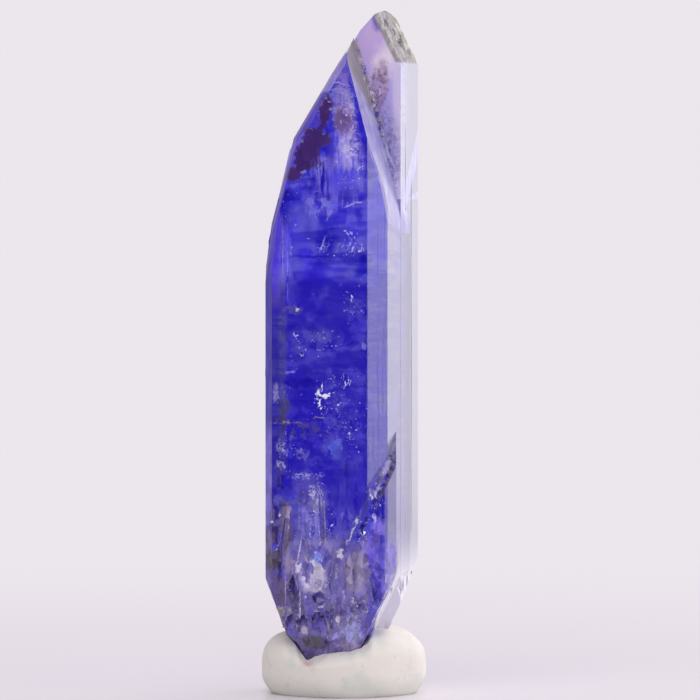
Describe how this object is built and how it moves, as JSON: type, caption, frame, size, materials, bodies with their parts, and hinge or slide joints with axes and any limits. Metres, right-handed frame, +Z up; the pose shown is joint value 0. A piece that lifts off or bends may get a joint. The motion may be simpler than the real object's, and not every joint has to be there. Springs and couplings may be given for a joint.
{
  "type": "rough tanzanite crystal on mounting putty",
  "caption": "Upright blue-violet rough crystal with a chisel end, a taller crystal grown against its back, its broken foot pressed into a low pad of white putty.",
  "frame": {"origin": "middle of the putty's flat underside", "axes": "+Z up along the crystal's length, -Y out of its broad front face, +X to the right"},
  "size_m": [0.0098, 0.0086, 0.0402],
  "materials": {
    "tanzanite": "natural crystal faces, glassy, matt and pitted where broken",
    "putty": "matt, finger pressed"
  },
  "bodies": {
    "root": {"tanzanite_crystal": "tanzanite", "mounting_putty": "putty"}
  },
  "joints": []
}
